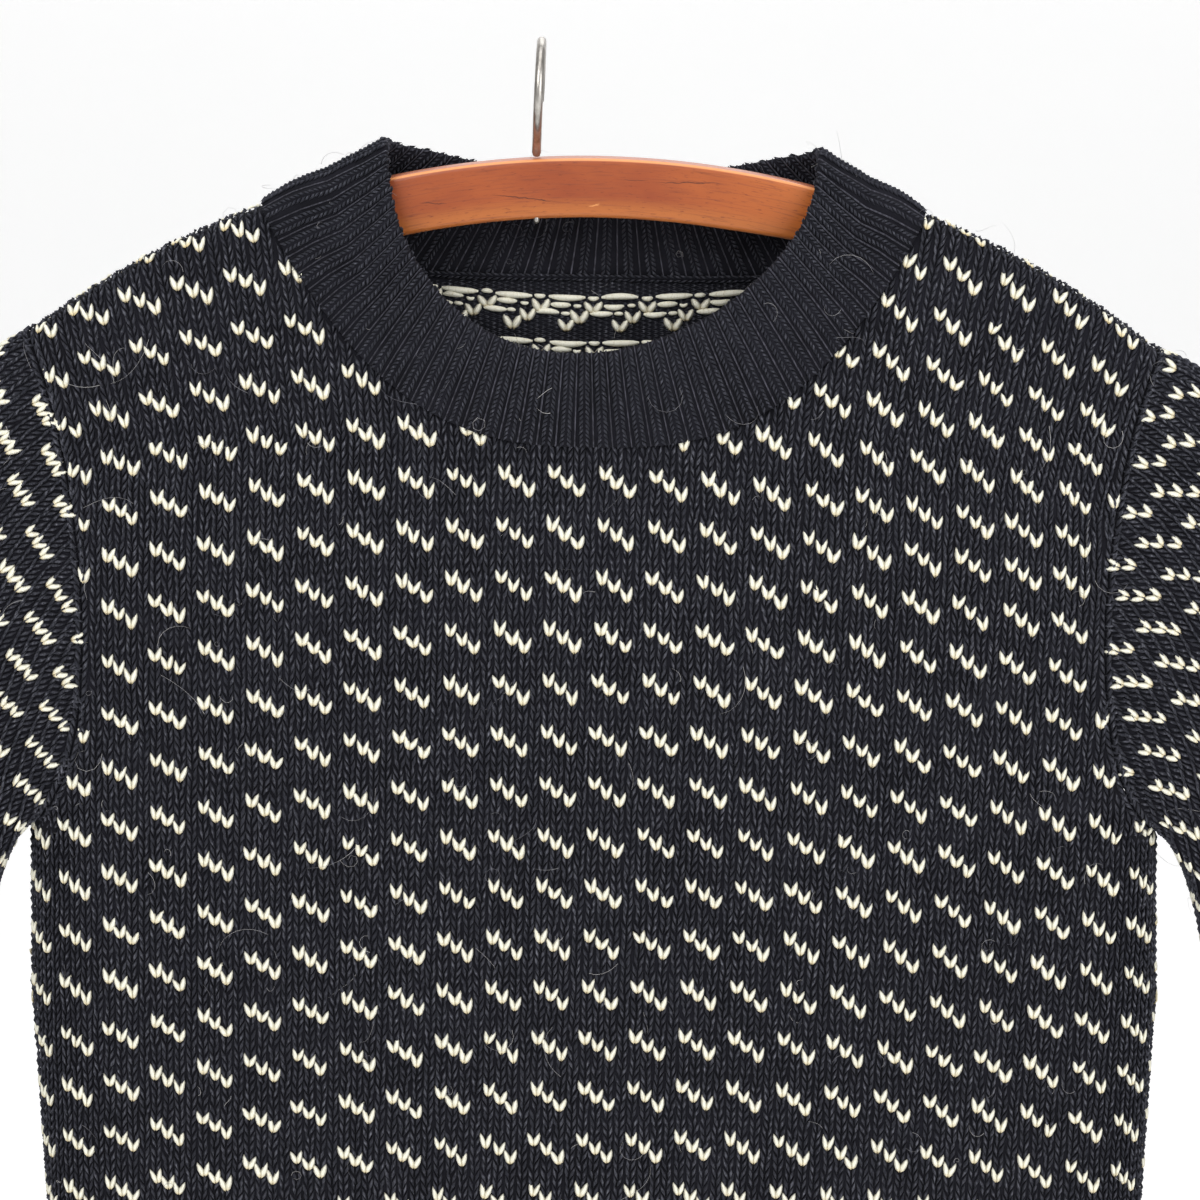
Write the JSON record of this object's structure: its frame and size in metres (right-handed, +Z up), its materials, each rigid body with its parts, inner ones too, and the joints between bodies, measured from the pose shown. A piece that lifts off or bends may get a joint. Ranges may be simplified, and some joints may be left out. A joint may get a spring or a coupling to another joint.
{
  "type": "birdseye sweater and hanger",
  "caption": "Crew-neck wool sweater in a two-colour birdseye knit with ribbed collar, cuffs and hem, hung on a curved wooden hanger with a wire hook.",
  "frame": {"origin": "top of the inside of the hook's crook, where a rail carries it", "axes": "+Z up, the sweater's front faces -Y, +X to the right in a front view; left and right in names are the viewer's"},
  "size_m": [0.7639, 0.0629, 0.7287],
  "materials": {
    "birdseye_knit": "stranded wool stocking stitch in navy with single cream stitches in steps of three",
    "navy_rib": "navy wool rib, doubled at the collar",
    "cream_wool": "cream wool yarn of the pattern's stitches and floats",
    "varnished_wood": "red-brown varnished beech with a fine grain",
    "steel_wire": "bright drawn steel wire"
  },
  "bodies": {
    "root": {"front": "birdseye_knit", "back": "birdseye_knit", "sleeve_left": "birdseye_knit", "sleeve_right": "birdseye_knit", "collar": "navy_rib", "cuff_left": "navy_rib", "cuff_right": "navy_rib", "hem_rib": "navy_rib", "hanger_bar": "varnished_wood", "hook": "steel_wire"}
  },
  "joints": []
}
